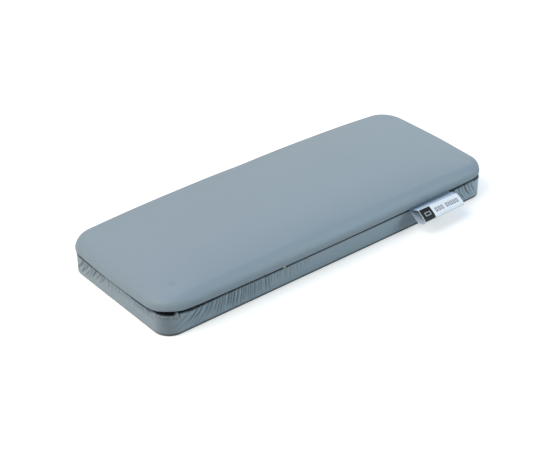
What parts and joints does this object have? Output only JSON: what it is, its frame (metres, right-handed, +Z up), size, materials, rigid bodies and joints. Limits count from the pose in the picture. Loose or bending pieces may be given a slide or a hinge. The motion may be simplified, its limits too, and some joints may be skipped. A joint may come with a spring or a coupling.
{
  "type": "chair armrest pad",
  "caption": "Long padded armrest with a soft crowned cushion on a flat upholstered plinth, threaded inserts underneath and a folded ribbon label in the seam.",
  "frame": {"origin": "centre of the underside, on the plane that the pad rests on", "axes": "+Z up out of the cushion, +X along the length towards the end that has the label, -Y towards the long side that the label stands out of"},
  "size_m": [0.3504, 0.1526, 0.0371],
  "materials": {
    "leatherette": "smooth matte blue-grey leatherette with a very fine grain",
    "fibreboard": "raw medium-density fibreboard",
    "plywood": "raw birch plywood",
    "foam": "open-cell polyurethane foam",
    "wadding": "white polyester wadding",
    "staple_wire": "galvanised wire",
    "screw_zinc": "zinc-plated",
    "insert_zinc": "zinc-plated, satin",
    "hot_melt": "translucent hot-melt adhesive",
    "label_ribbon": "white satin ribbon with a plain dark woven block and grey dashes"
  },
  "bodies": {
    "pad": {"plinth_cover": "leatherette", "plinth_board": "fibreboard", "plinth_staples": "staple_wire", "cushion_cover": "leatherette", "cushion_wadding": "wadding", "cushion_foam": "foam", "cushion_board": "plywood", "cushion_staples": "staple_wire", "joining_screws": "screw_zinc", "threaded_inserts": "insert_zinc", "adhesive_beads": "hot_melt"},
    "label": {"ribbon_label": "label_ribbon"}
  },
  "joints": [
    {"name": "label_flex", "type": "hinge", "parent": "pad", "child": "label", "pos_m": [0.10225, -0.0655, 0.0183], "axis": [1, 0, 0], "range_deg": [-6, 50], "deforming": ["ribbon_label"]}
  ]
}
